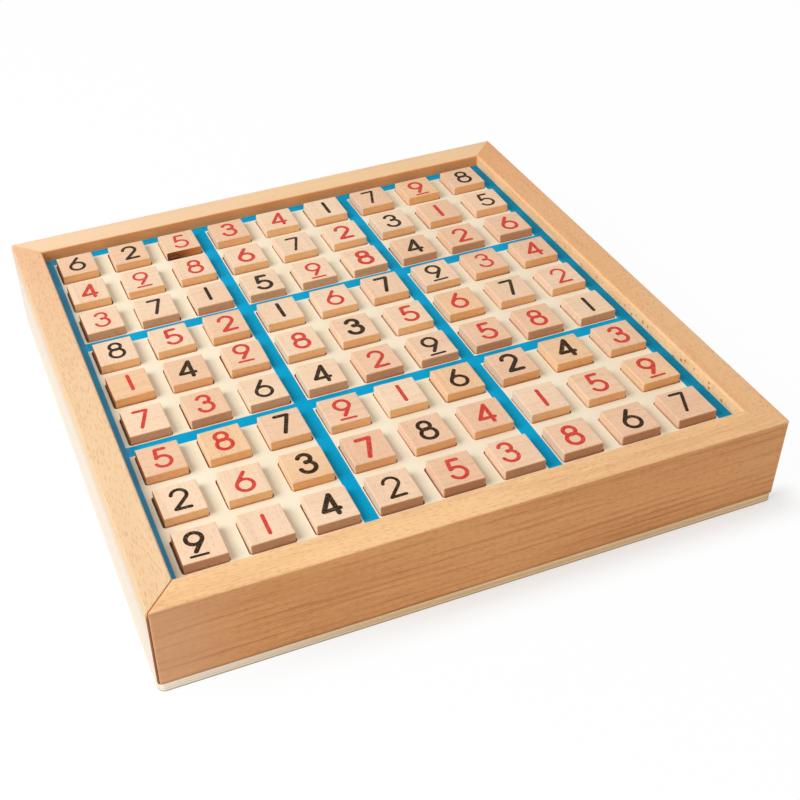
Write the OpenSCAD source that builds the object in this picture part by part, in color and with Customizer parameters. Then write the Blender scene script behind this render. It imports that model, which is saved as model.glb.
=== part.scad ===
// Wooden sudoku board: a mitred frame on a plywood base, a pocketed playing board
// with 81 loose number tiles, and a storage drawer under the board.
// +X is to the right, +Y to the back, +Z up. The origin is at the middle of the underside.

/* [Playing board] */
// Distance between the centres of two neighbouring cells
cell_pitch = 22.1; // [20:0.1:30]
// Margin between the outer cells and the rails, for a grid in the middle of the frame
field_border = 1.85; // [1:0.05:6]
// How far the grid of pockets sits to the right of the middle (negative: to the left)
field_shift = -0.8; // [-1.2:0.1:1.2]
// Thickness of the board that has the pockets
panel_t = 2.4; // [1.5:0.1:4]
// Thickness of the sheet under the pockets
floor_t = 3; // [2:0.1:4]
// Corner radius of a pocket
pocket_r = 1.2; // [0.5:0.1:2]
// Gap between a tile and its pocket, on each side
pocket_clear = 0.5; // [0.3:0.1:0.9]

/* [Tiles] */
// Side of a number tile
tile_side = 15; // [11:0.5:16]
// Thickness of a number tile
tile_t = 6; // [4:0.5:8]
// Rounding of a tile's edges
tile_ease = 0.6; // [0.2:0.1:1.2]

/* [Frame] */
// Width of a rail, seen from above
rail_w = 11.2; // [9:0.1:16]
// Height of a rail
rail_h = 32.5; // [30:0.5:45]
// Drop from the rim to the playing board
recess_d = 5.2; // [3:0.1:8]
// Depth of the groove that holds the board in the rails
groove_d = 4; // [2:0.5:6]
// Gap between the board's edge and the end of that groove
groove_gap = 0.4; // [0.2:0.1:1]
// Rounding of the rim's edges
rim_ease = 0.8; // [0.3:0.1:1.5]
// Rounding of the rails' lower outer edge, over the base
seam_ease = 0.5; // [0.2:0.1:1]
// Rounding of the frame's upright corners
corner_r = 1.5; // [0.5:0.1:3]
// Opening of the front-left mitre, measured across the joint
mitre_gap = 0.3; // [0.1:0.05:0.8]

/* [Base] */
// Thickness of the plywood base
base_t = 3.5; // [2:0.1:6]
// Rounding of the base's corners
base_corner_r = 2.5; // [1:0.1:5]

/* [Drawer] */
// Height of the drawer opening in the right rail
window_h = 18; // [14:0.5:19]
// Thickness of the strips beside the drawer
guide_t = 4; // [2:0.5:8]
// Height of the strips beside the drawer
guide_h = 10; // [6:0.5:13]
// Gap round the drawer
drawer_gap = 0.5; // [0.3:0.1:1]
// Thickness of the drawer's face
drawer_face_t = 8; // [6:0.5:9]
// Thickness of the drawer's sides and rear
drawer_wall_t = 4; // [3:0.5:6]
// Drop from the top of the face to the top of the sides
drawer_wall_drop = 3; // [1:0.5:5]
// Thickness of the drawer's bottom
drawer_bottom_t = 2.5; // [1.5:0.1:3.5]
// Height of the drawer's bottom over the sides' lower edge
drawer_bottom_up = 2; // [1:0.5:3]
// Depth of the groove that holds the drawer's bottom
drawer_groove_d = 2; // [1:0.5:2.5]
// Width of the finger notch in the drawer's face
notch_w = 26; // [18:1:40]
// Depth of the finger notch
notch_d = 9; // [5:0.5:10]

/* [Hidden] */
$fn = 48;

// Sudoku has nine blocks of three by three cells
block_cells = 3;
grid_cells = block_cells * block_cells;
blocks = ["left", "middle", "right"];

// Small overrun that lets a cut pass clean through a face
cut = 1;

opening_w = grid_cells * cell_pitch + 2 * field_border;
frame_w = opening_w + 2 * rail_w;
total_h = base_t + rail_h;

// Levels of the playing board
board_z = total_h - recess_d;
panel_z = board_z - panel_t;
floor_z = panel_z - floor_t;
panel_w = opening_w + 2 * (groove_d - groove_gap);
pocket_w = tile_side + 2 * pocket_clear;

// Drawer
window_w = opening_w - 2 * guide_t;
drawer_w = window_w - 2 * drawer_gap;
drawer_rear_x = -opening_w / 2;
drawer_face_x = frame_w / 2 - drawer_face_t;
drawer_face_z = base_t + drawer_gap;
drawer_top_z = base_t + window_h - drawer_gap;
drawer_wall_h = drawer_top_z - drawer_wall_drop - base_t;
drawer_inner_w = drawer_w - 2 * drawer_wall_t;
drawer_inner_x = drawer_rear_x + drawer_wall_t;
drawer_bottom_z = base_t + drawer_bottom_up;

// Radius of the notch's arc, from its width and depth
notch_r = (pow(notch_w / 2, 2) + pow(notch_d, 2)) / (2 * notch_d);

beech = "#E0AE78";
pale_beech = "#EBC599";
plywood = "#E6D2AE";
cream = "#F3E9C8";
tile_wood = "#F0CFAB";

// Name of the node with the three tiles that share a row and a block
function trio_name(row, block) = str("row", row, "_", blocks[block], "_tiles");

// Distance of a row or column, counted from 0, from the middle of the grid
function cell_at(index) = (index - (grid_cells - 1) / 2) * cell_pitch;

// Middle of a cell. Rows count from the back, columns from the left.
function cell_middle(row, column) = [field_shift + cell_at(column), -cell_at(row)];

// Rectangle with round corners, centred on the origin
module rounded_rect(w, d, r) {
    square([w - 2 * r, d], center = true);
    square([w, d - 2 * r], center = true);
    for (x = [-1, 1], y = [-1, 1])
        translate([x * (w / 2 - r), y * (d / 2 - r)]) circle(r);
}

// Block with all its edges rounded, standing on z = 0
module eased_block(w, d, h, r) {
    translate([0, 0, h / 2])
        intersection() {
            linear_extrude(h, center = true) rounded_rect(w, d, r);
            rotate([90, 0, 0]) linear_extrude(d, center = true) rounded_rect(w, h, r);
            rotate([90, 0, 90]) linear_extrude(w, center = true) rounded_rect(d, h, r);
        }
}

// Section of a rail: x runs from the outer face inwards, y upwards from the base
module rail_section() {
    difference() {
        union() {
            translate([0, seam_ease]) square([rail_w, rail_h - seam_ease - rim_ease]);
            translate([seam_ease, 0]) square([rail_w - seam_ease, rail_h / 2]);
            translate([rim_ease, rail_h / 2]) square([rail_w - 2 * rim_ease, rail_h / 2]);
            translate([seam_ease, seam_ease]) circle(seam_ease);
            for (x = [rim_ease, rail_w - rim_ease])
                translate([x, rail_h - rim_ease]) circle(rim_ease);
        }
        translate([rail_w - groove_d, floor_z - base_t])
            square([groove_d + cut, panel_t + floor_t]);
    }
}

// Front-facing rail, mitred at both ends. open_left opens its left mitre.
module mitred_rail(open_left = 0) {
    shift = open_left * sqrt(2);
    intersection() {
        translate([0, -frame_w / 2, base_t])
            rotate([90, 0, 90]) linear_extrude(frame_w, center = true) rail_section();
        linear_extrude(total_h)
            polygon([[shift - frame_w / 2, -frame_w / 2], [frame_w / 2, -frame_w / 2],
                     [shift / 2, -shift / 2]]);
        linear_extrude(total_h) rounded_rect(frame_w, frame_w, corner_r);
    }
}

module front_rail() color(beech) mitred_rail(mitre_gap);

module back_rail() color(pale_beech) rotate(180) mitred_rail();

module left_rail() color(pale_beech) rotate(-90) mitred_rail();

// The right rail spans the drawer opening like a bridge
module right_rail() {
    color(beech)
        difference() {
            rotate(90) mitred_rail();
            translate([opening_w / 2 - cut, -window_w / 2, base_t - cut])
                cube([rail_w + 2 * cut, window_w, window_h + cut]);
        }
}

module base_panel() {
    color(plywood) linear_extrude(base_t) rounded_rect(frame_w, frame_w, base_corner_r);
}

// Playing board, held in the rails' grooves, with a pocket for every tile
module grid_panel() {
    color(cream)
        translate([0, 0, panel_z])
            linear_extrude(panel_t)
                difference() {
                    square(panel_w, center = true);
                    for (column = [0 : grid_cells - 1], row = [0 : grid_cells - 1])
                        translate(cell_middle(row, column))
                            rounded_rect(pocket_w, pocket_w, pocket_r);
                }
}

// Sheet that the tiles stand on, in the same grooves
module pocket_floor() {
    color(plywood)
        translate([-panel_w / 2, -panel_w / 2, floor_z]) cube([panel_w, panel_w, floor_t]);
}

// Strip that leads the drawer. side is -1 at the front and 1 at the back.
module drawer_guide(side) {
    color(pale_beech)
        translate([0, side * (opening_w - guide_t) / 2, base_t + guide_h / 2])
            cube([opening_w, guide_t, guide_h], center = true);
}

module front_guide() drawer_guide(-1);

module back_guide() drawer_guide(1);

// Space of the drawer's bottom, cut as a groove from what holds it
module bottom_space() {
    translate([drawer_inner_x - drawer_groove_d, -drawer_inner_w / 2 - drawer_groove_d,
               drawer_bottom_z])
        cube([drawer_face_x - drawer_inner_x + 2 * drawer_groove_d,
              drawer_inner_w + 2 * drawer_groove_d, drawer_bottom_t]);
}

// Flush face with a half-moon notch for a finger in its upper edge
module drawer_face() {
    color(beech)
        difference() {
            translate([drawer_face_x, -drawer_w / 2, drawer_face_z])
                cube([drawer_face_t, drawer_w, drawer_top_z - drawer_face_z]);
            translate([drawer_face_x - cut, 0, drawer_top_z - notch_d + notch_r])
                rotate([0, 90, 0]) cylinder(h = drawer_face_t + 2 * cut, r = notch_r);
            bottom_space();
        }
}

// Side of the drawer. side is -1 at the front and 1 at the back.
module drawer_side(side) {
    color(pale_beech)
        difference() {
            translate([drawer_rear_x, side * (drawer_w - drawer_wall_t) / 2 - drawer_wall_t / 2, base_t])
                cube([drawer_face_x - drawer_rear_x, drawer_wall_t, drawer_wall_h]);
            bottom_space();
        }
}

module drawer_front_side() drawer_side(-1);

module drawer_back_side() drawer_side(1);

module drawer_rear() {
    color(pale_beech)
        difference() {
            translate([drawer_rear_x, -drawer_inner_w / 2, base_t])
                cube([drawer_wall_t, drawer_inner_w, drawer_wall_h]);
            bottom_space();
        }
}

module drawer_bottom() color(plywood) bottom_space();

// Three tiles side by side. row counts from 1 at the back, block from 0 at the left.
module tile_trio(row, block) {
    color(tile_wood)
        for (column = [block * block_cells : (block + 1) * block_cells - 1])
            translate(concat(cell_middle(row - 1, column), panel_z))
                eased_block(tile_side, tile_side, tile_t, tile_ease);
}

front_rail();
back_rail();
left_rail();
right_rail();
base_panel();
grid_panel();
pocket_floor();
front_guide();
back_guide();
drawer_face();
drawer_front_side();
drawer_back_side();
drawer_rear();
drawer_bottom();
for (row = [1 : grid_cells], block = [0 : block_cells - 1])
    tile_trio(row, block);
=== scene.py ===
"""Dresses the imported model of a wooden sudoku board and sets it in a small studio.

The rails, the base, the playing board and the drawer keep their solids and get timber,
plywood and print. The number tiles are new meshes, three to a set, with every digit laid
on its tile as thin films of ink. The classes hold their sizes in millimetres, and the
scene itself is in metres, with +X to the right, +Y to the back and +Z up.
"""

from __future__ import annotations

import functools
import logging
import math
import random
from abc import ABC, abstractmethod
from dataclasses import dataclass
from enum import Enum
from typing import Any, Iterable, Mapping, Sequence, TypeVar, Union

import bmesh
import bpy
from mathutils import Matrix, Vector

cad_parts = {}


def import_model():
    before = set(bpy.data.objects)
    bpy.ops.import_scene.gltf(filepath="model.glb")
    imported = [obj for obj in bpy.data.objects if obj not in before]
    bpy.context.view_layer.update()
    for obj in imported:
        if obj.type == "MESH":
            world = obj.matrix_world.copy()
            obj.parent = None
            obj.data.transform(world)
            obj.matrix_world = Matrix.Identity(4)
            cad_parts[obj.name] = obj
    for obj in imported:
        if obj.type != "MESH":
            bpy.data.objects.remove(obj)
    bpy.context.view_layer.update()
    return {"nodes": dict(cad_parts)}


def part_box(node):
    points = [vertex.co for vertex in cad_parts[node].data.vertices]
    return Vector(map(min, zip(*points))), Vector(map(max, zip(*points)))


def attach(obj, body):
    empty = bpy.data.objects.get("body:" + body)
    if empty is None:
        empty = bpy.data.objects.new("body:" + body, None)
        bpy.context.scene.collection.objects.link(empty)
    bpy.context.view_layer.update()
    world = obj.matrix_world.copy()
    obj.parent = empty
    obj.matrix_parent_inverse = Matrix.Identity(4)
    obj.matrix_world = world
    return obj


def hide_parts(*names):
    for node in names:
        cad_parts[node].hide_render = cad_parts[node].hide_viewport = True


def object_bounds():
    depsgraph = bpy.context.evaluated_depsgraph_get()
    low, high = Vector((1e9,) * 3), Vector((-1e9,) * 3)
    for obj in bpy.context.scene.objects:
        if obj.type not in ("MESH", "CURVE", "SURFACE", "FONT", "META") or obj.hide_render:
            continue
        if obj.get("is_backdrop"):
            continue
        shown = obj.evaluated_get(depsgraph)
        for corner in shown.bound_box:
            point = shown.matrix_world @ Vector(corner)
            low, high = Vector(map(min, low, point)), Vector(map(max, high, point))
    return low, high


LOG = logging.getLogger("sudoku_board")

MM = 0.001
GRAIN_PLACE = "grain_place"
TILE_TONE = "tile_tone"
SAWN_AND_SHADE_SHARE = "sawn_and_shade_share"
BARK_AND_SHADE_SHARE = "bark_and_shade_share"

Colour = tuple[float, float, float, float]
Point = tuple[float, float]
# Where a ramp is 0 and where it is 1.
Span = tuple[float, float]
Triple = tuple[float, float, float]
Cell = tuple[int, int]
Cells = frozenset[Cell]
Choice = TypeVar("Choice")

WHITE: Colour = (1.0, 1.0, 1.0, 1.0)


def srgb(red: int, green: int, blue: int) -> Colour:
    """Turns a colour as a screen shows it into the linear colour that shaders take.

    Args:
        red: Red, from 0 to 255.
        green: Green, from 0 to 255.
        blue: Blue, from 0 to 255.

    Returns:
        The linear colour, opaque.
    """

    def linear(level: int) -> float:
        """One channel of the colour."""
        share = level / 255
        return share / 12.92 if share <= 0.04045 else ((share + 0.055) / 1.055) ** 2.4

    return (linear(red), linear(green), linear(blue), 1.0)


def box_mm(node: str) -> tuple[Vector, Vector]:
    """The lowest and highest corners of a solid at rest, in millimetres."""
    low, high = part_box(node)
    return low / MM, high / MM


def pick(cell: Cell, choices: Iterable[tuple[Choice, Cells]], usual: Choice) -> Choice:
    """The choice whose cells hold this one, or else the usual one."""
    return next((choice for choice, cells in choices if cell in cells), usual)


def add_object(name: str, data: bpy.types.ID) -> bpy.types.Object:
    """Adds an object to the scene.

    Args:
        name: The object's name.
        data: Its mesh, lamp or camera.

    Returns:
        The object, at the origin.
    """
    made = bpy.data.objects.new(name, data)
    bpy.context.scene.collection.objects.link(made)
    return made


def join(into: bmesh.types.BMesh, added: bmesh.types.BMesh) -> None:
    """Moves one mesh into another and frees it.

    Args:
        into: The mesh that grows.
        added: The mesh that is used up.
    """
    carrier = bpy.data.meshes.new("carrier")
    added.to_mesh(carrier)
    into.from_mesh(carrier)
    added.free()
    bpy.data.meshes.remove(carrier)


def settle(
    shape: bmesh.types.BMesh, name: str, finishes: Iterable[bpy.types.Material]
) -> bpy.types.Object:
    """Turns a finished shape into an object of the scene.

    Args:
        shape: The shape in metres, which is used up.
        name: The object's name.
        finishes: The materials of its slots.

    Returns:
        The object.
    """
    mesh = bpy.data.meshes.new(name)
    shape.to_mesh(mesh)
    shape.free()
    for finish in finishes:
        mesh.materials.append(finish)
    return add_object(name, mesh)


def dress(piece: bpy.types.Object, finish: bpy.types.Material) -> None:
    """Gives a solid its finish.

    Args:
        piece: The solid's object.
        finish: The material for all of it.
    """
    piece.data.materials.clear()
    piece.data.materials.append(finish)
    LOG.info("%s: %s", piece.name, finish.name)


class Blend(Enum):
    """The way that one colour is laid on another."""

    OVER = "MIX"
    TINT = "MULTIPLY"


class Axis(Enum):
    """An axis of the scene, by its number."""

    X = 0
    Y = 1
    Z = 2


@dataclass(frozen=True)
class Noise:
    """Soft noise, by its waves to a millimetre along each axis and its detail."""

    waves: Triple
    detail: float = 2.0


class Wire:
    """A shader output whose arithmetic adds Math nodes to its graph."""

    def __init__(self, graph: "ShaderGraph", socket: bpy.types.NodeSocket) -> None:
        """Keeps the graph and the output socket."""
        self.graph = graph
        self.socket = socket

    def _math(self, operation: str, *values: "Number") -> "Wire":
        """Adds one Math node."""
        return self.graph.node("ShaderNodeMath", {"operation": operation}, dict(enumerate(values)))

    def __add__(self, other: "Number") -> "Wire":
        """self + other"""
        return self._math("ADD", self, other)

    def __radd__(self, other: "Number") -> "Wire":
        """other + self"""
        return self._math("ADD", other, self)

    def __sub__(self, other: "Number") -> "Wire":
        """self - other"""
        return self._math("SUBTRACT", self, other)

    def __rsub__(self, other: "Number") -> "Wire":
        """other - self"""
        return self._math("SUBTRACT", other, self)

    def __mul__(self, other: "Number") -> "Wire":
        """self * other"""
        return self._math("MULTIPLY", self, other)

    def __rmul__(self, other: "Number") -> "Wire":
        """other * self"""
        return self._math("MULTIPLY", other, self)

    def __truediv__(self, other: "Number") -> "Wire":
        """self / other"""
        return self._math("DIVIDE", self, other)

    def __abs__(self) -> "Wire":
        """Distance from zero."""
        return self._math("ABSOLUTE", self)

    def fraction(self) -> "Wire":
        """What is left over the whole number below."""
        return self._math("FRACT", self)

    def larger(self, other: "Number") -> "Wire":
        """The larger of the two."""
        return self._math("MAXIMUM", self, other)

    def ramp(self, low: float, high: float) -> "Wire":
        """Rises smoothly from 0 at low to 1 at high, or falls where low is the larger one.

        Args:
            low: Where the ramp is 0.
            high: Where it is 1.

        Returns:
            The share, from 0 to 1.
        """
        turned = low > high
        ends = {1: min(low, high), 2: max(low, high), 3: float(turned), 4: float(not turned)}
        return self.graph.node(
            "ShaderNodeMapRange", {"interpolation_type": "SMOOTHSTEP"}, {0: self, **ends}
        )

    def contrast(self) -> "Wire":
        """Spreads noise, most of which lies near the middle, over the whole of 0 to 1."""
        return self.ramp(0.3, 0.7)

    def output(self, name: str) -> "Wire":
        """Another output of the same node."""
        return Wire(self.graph, self.socket.node.outputs[name])


Number = Union[float, Wire]


class ShaderGraph:
    """The node tree of one material or of the world."""

    def __init__(self, owner: Union[bpy.types.Material, bpy.types.World]) -> None:
        """Empties the owner's node tree.

        Args:
            owner: The material or the world.
        """
        owner.use_nodes = True
        self.tree = owner.node_tree
        self.tree.nodes.clear()

    def node(
        self,
        kind: str,
        settings: Mapping[str, Any] | None = None,
        inputs: Mapping[Union[str, int], Any] | None = None,
        output: Union[str, int] = 0,
    ) -> Wire:
        """Adds one node.

        Args:
            kind: The node's type.
            settings: Properties of the node, which are set first.
            inputs: A value or a Wire for each socket, by name or number.
            output: The output to return, by name or number.

        Returns:
            The node's output as a Wire.
        """
        made = self.tree.nodes.new(kind)
        for name, value in (settings or {}).items():
            setattr(made, name, value)
        for name, value in (inputs or {}).items():
            if isinstance(value, Wire):
                self.tree.links.new(value.socket, made.inputs[name])
            else:
                made.inputs[name].default_value = value
        return Wire(self, made.outputs[output] if made.outputs else None)

    def mix(self, factor: Number, first: Any, second: Any, blend: Blend = Blend.OVER) -> Wire:
        """Blends two colours: the first at factor 0, the second at factor 1."""
        settings = {"data_type": "RGBA", "blend_type": blend.value, "clamp_factor": True}
        return self.node("ShaderNodeMix", settings, {0: factor, 6: first, 7: second}, 2)

    def tint(self, share: Number, colour: Wire, tint: Colour) -> Wire:
        """Multiplies a colour by a tint, as far as share says."""
        return self.mix(share, colour, tint, Blend.TINT)

    def stretch(self, place: Wire, scale: Sequence[float]) -> Wire:
        """Multiplies a place by a scale for each axis."""
        return self.node(
            "ShaderNodeVectorMath", {"operation": "MULTIPLY"}, {0: place, 1: tuple(scale)}
        )

    def noise(self, place: Wire, noise: Noise) -> Wire:
        """Noise from 0 to 1 at a place in millimetres."""
        inputs = {"Vector": self.stretch(place, noise.waves), "Scale": 1.0, "Detail": noise.detail}
        return self.node("ShaderNodeTexNoise", {}, inputs)

    def cells(self, place: Wire, waves: Sequence[float]) -> Wire:
        """Distance to the nearest of many scattered points; its Color output is each one's own."""
        inputs = {"Vector": self.stretch(place, waves), "Scale": 1.0}
        return self.node("ShaderNodeTexVoronoi", {"feature": "F1"}, inputs, "Distance")

    def object_place(self) -> Wire:
        """The place on the object in metres."""
        return self.node("ShaderNodeTexCoord", {}, {}, "Object")

    def attribute(self, name: str, output: str) -> Wire:
        """A value that the mesh holds by name."""
        return self.node("ShaderNodeAttribute", {"attribute_name": name}, {}, output)

    def millimetres(self) -> Wire:
        """The place on the object in millimetres."""
        return self.stretch(self.object_place(), (1 / MM,) * 3)

    def axes(self, place: Wire) -> tuple[Wire, Wire, Wire]:
        """The three parts of a place or a direction."""
        parts = self.node("ShaderNodeSeparateXYZ", {}, {"Vector": place}, "X")
        return parts, parts.output("Y"), parts.output("Z")

    def facing(self) -> tuple[Wire, Wire, Wire]:
        """The three parts of the direction that the surface looks in."""
        return self.axes(self.node("ShaderNodeNewGeometry", {}, {}, "Normal"))

    def seen(self) -> Wire:
        """1 where the camera sees the surface, by itself, in a gloss or through glass."""
        ray = self.node("ShaderNodeLightPath", {}, {}, "Is Camera Ray")
        return ray.larger(ray.output("Is Glossy Ray")).larger(ray.output("Is Transmission Ray"))

    def bump(self, height: Wire, depth: float) -> Wire:
        """A normal that follows height, which runs from 0 to 1, over a depth in millimetres."""
        return self.node(
            "ShaderNodeBump", {}, {"Strength": 1.0, "Distance": depth * MM, "Height": height}
        )

    def surface(self, **inputs: Any) -> Wire:
        """A Principled shader whose inputs are named with underscores for blanks."""
        named = {name.replace("_", " "): value for name, value in inputs.items()}
        return self.node("ShaderNodeBsdfPrincipled", {}, named)

    def finish(self, shader: Wire, output: str = "ShaderNodeOutputMaterial") -> None:
        """Connects the last shader to the output node."""
        self.node(output, {}, {"Surface": shader})


class Finish(ABC):
    """What a piece is covered with."""

    @abstractmethod
    def shade(self, graph: ShaderGraph) -> Wire:
        """Builds the finish in an empty graph.

        Args:
            graph: The material's graph.

        Returns:
            The shader.
        """

    def build(self, name: str) -> bpy.types.Material:
        """Makes the material.

        Args:
            name: The material's name.

        Returns:
            The material.
        """
        material = bpy.data.materials.new(name)
        graph = ShaderGraph(material)
        graph.finish(self.shade(graph))
        return material


class Mark(ABC):
    """A mark or a tone on part of a piece."""

    @abstractmethod
    def add(self, graph: ShaderGraph, colour: Wire) -> Wire:
        """Lays the mark over a colour.

        Args:
            graph: The material's graph.
            colour: The colour under the mark.

        Returns:
            The colour with the mark.
        """


class Grain(Enum):
    """The way that a piece's fibres run, as the turn that brings them along X."""

    LEFT_TO_RIGHT = 0.0
    FRONT_TO_BACK = -math.pi / 2


class Facing(Enum):
    """A way that a surface looks: its axis, its sense, and the span of cosines that it covers."""

    LEFT = (Axis.X, -1.0, (0.6, 0.95))
    LEFT_AND_EDGE = (Axis.X, -1.0, (0.3, 0.7))
    FRONT = (Axis.Y, -1.0, (0.6, 0.95))
    UP = (Axis.Z, 1.0, (0.35, 0.8))

    def share(self, graph: ShaderGraph) -> Wire:
        """How far the surface looks this way, from 0 to 1."""
        axis, sense, span = self.value
        return (graph.facing()[axis.value] * sense).ramp(*span)


@dataclass(frozen=True)
class BeechFigure:
    """The pattern of beech: growth lines, fibres and short dark flecks along the grain."""

    light: Colour = srgb(240, 200, 150)
    dark: Colour = srgb(206, 150, 96)
    fleck: Colour = srgb(168, 108, 62)
    line_step: float = 3.0
    line_tilt: float = 35.0
    line_strength: float = 0.3
    line_wander: float = 3.0
    line_waver: float = 0.6
    line_gaps: float = 0.4
    line_gaps_soft: float = 0.28
    late_rise: Span = (0.4, 0.88)
    late_end: Span = (1.0, 0.9)
    fibre_strength: float = 0.5
    cloud_strength: float = 0.25
    fleck_share: float = 0.8
    fleck_share_soft: float = 0.04
    fleck_strength: float = 0.2
    fleck_length: float = 4.0
    fleck_width: float = 0.4
    fleck_rim: Span = (0.4, 0.2)
    calm_top: float = 0.0
    wander: Noise = Noise((0.006, 0.03, 0.03), 1.0)
    waver: Noise = Noise((0.04, 0.3, 0.3))
    gaps: Noise = Noise((0.014, 0.2, 0.2))
    fibres: Noise = Noise((0.08, 2.6, 2.6), 4.0)
    clouds: Noise = Noise((0.01, 0.07, 0.07))

    def growth_lines(self, graph: ShaderGraph, place: Wire) -> Wire:
        """Long dark lines that come and go, sharp on one side and fading on the other.

        Args:
            graph: The material's graph.
            place: The place in millimetres, with the fibres along X.

        Returns:
            The strength of the lines, from 0 to 1.
        """
        _, across, up = graph.axes(place)
        tilt = math.radians(self.line_tilt)
        depth = (across * math.sin(tilt) + up * math.cos(tilt)) / self.line_step
        wander = graph.noise(place, self.wander) * self.line_wander
        waver = graph.noise(place, self.waver) * self.line_waver
        year = (depth + wander + waver).fraction()
        line = year.ramp(*self.late_rise) * year.ramp(*self.late_end)
        presence = graph.noise(place, self.gaps)
        return line * presence.ramp(self.line_gaps, self.line_gaps + self.line_gaps_soft)

    def flecks(self, graph: ShaderGraph, place: Wire) -> Wire:
        """Short dashes along the grain, in part of the cells of a stretched net.

        Args:
            graph: The material's graph.
            place: The place in millimetres, with the fibres along X.

        Returns:
            The strength of the dashes, from 0 to 1.
        """
        near = graph.cells(place, (1 / self.fleck_length, 1 / self.fleck_width, 1 / self.fleck_width))
        chance = graph.axes(near.output("Color"))[0]
        empty = 1 - self.fleck_share
        kept = chance.ramp(empty, empty + self.fleck_share_soft)
        return near.ramp(*self.fleck_rim) * kept

    def paint(self, graph: ShaderGraph, place: Wire) -> tuple[Wire, Wire, Wire]:
        """Builds the figure.

        Args:
            graph: The material's graph.
            place: The place in millimetres, with the fibres along X.

        Returns:
            The colour, the share of flecks and the height of the fibres.
        """
        fibre = graph.noise(place, self.fibres)
        cloud = graph.noise(place, self.clouds).contrast()
        calm = 1 - Facing.UP.share(graph) * self.calm_top
        depth = (
            self.growth_lines(graph, place) * calm * self.line_strength
            + (fibre - 0.5) * self.fibre_strength
            + cloud * self.cloud_strength
        )
        flecks = self.flecks(graph, place)
        plain = graph.mix(depth, self.light, self.dark)
        colour = graph.mix(flecks * self.fleck_strength, plain, self.fleck)
        return colour, flecks, fibre


@dataclass(frozen=True)
class OpenMitre(Mark):
    """A brown stain along the front-left corner joint, which stands slightly open. Past the gap it is
    painted shade, deepest on the left and below the rim; on the front face it is a painted highlight
    along the corner's edge.
    """

    colour: Colour = srgb(226, 164, 112)
    painted_shade: Colour = srgb(136, 80, 45)
    corner: Span = (-95.0, -96.0)
    below_rim: Span = (36.0, 33.0)
    reach: float = 0.5
    left_reach: float = 1.4
    soft: float = 0.3

    def add(self, graph: ShaderGraph, colour: Wire) -> Wire:
        """Stains the cut faces and the edges beside them, with painted shade deepest on the left and
        below the rim.

        Args:
            graph: The material's graph.
            colour: The colour under the mark.

        Returns:
            The colour with the mark.
        """
        x, y, z = graph.axes(graph.millimetres())
        there = x.ramp(*self.corner) * y.ramp(*self.corner)
        wider = Facing.LEFT.share(graph) * (self.left_reach - self.reach)
        beside = (wider + self.reach - abs(x - y)).ramp(0.0, self.soft)
        # Painted shade inside the gap, below the rim.
        below = z.ramp(*self.below_rim) * (1 - Facing.FRONT.share(graph))
        return graph.mix(beside * there, colour, graph.mix(below, self.colour, self.painted_shade))


@dataclass(frozen=True)
class Pinholes(Mark):
    """Small brown specks low on the inner face of a rail, most of them towards the front."""

    colour: Colour = srgb(202, 136, 74)
    spacing: float = 3.0
    depth: float = 15.0
    rim: Span = (0.3, 0.16)
    height: Span = (34.8, 34.0)
    towards_front: Span = (60.0, -60.0)

    def add(self, graph: ShaderGraph, colour: Wire) -> Wire:
        """Adds the specks to the face that looks to the left.

        Args:
            graph: The material's graph.
            colour: The colour under the mark.

        Returns:
            The colour with the mark.
        """
        place = graph.millimetres()
        _, y, z = graph.axes(place)
        near = graph.cells(place, (1 / self.depth, 1 / self.spacing, 1 / self.spacing))
        there = z.ramp(*self.height) * y.ramp(*self.towards_front)
        speck = near.ramp(*self.rim) * there * Facing.LEFT.share(graph)
        return graph.mix(speck, colour, self.colour)


@dataclass(frozen=True)
class PaintedLeftLight(Mark):
    """Painted light on the left side: pale, as if washed out by the lamp, most of all low down."""

    high: Colour = srgb(210, 178, 137)
    low: Colour = srgb(218, 207, 194)
    share: float = 0.7
    fade: Span = (36.0, 19.0)

    def add(self, graph: ShaderGraph, colour: Wire) -> Wire:
        """Paints light over the faces that look to the left, and the rounded edge over them.

        Args:
            graph: The material's graph.
            colour: The colour under the mark.

        Returns:
            The colour with the mark.
        """
        _, _, height = graph.axes(graph.millimetres())
        pale = graph.mix(height.ramp(*self.fade), self.high, self.low)
        return graph.mix(Facing.LEFT_AND_EDGE.share(graph) * self.share, colour, pale)


@dataclass(frozen=True)
class EndTone(Mark):
    """A slow change of tone towards one end or the foot of a rail, on faces that look one way; at the
    front rail's foot it is painted shade.
    """

    facing: Facing
    axis: Axis
    span: Span
    colour: Colour
    share: float = 1.0
    blend: Blend = Blend.TINT

    def add(self, graph: ShaderGraph, colour: Wire) -> Wire:
        """Brings the tone in along the rail."""
        along = graph.axes(graph.millimetres())[self.axis.value].ramp(*self.span)
        return graph.mix(along * self.facing.share(graph) * self.share, colour, self.colour, self.blend)


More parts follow.
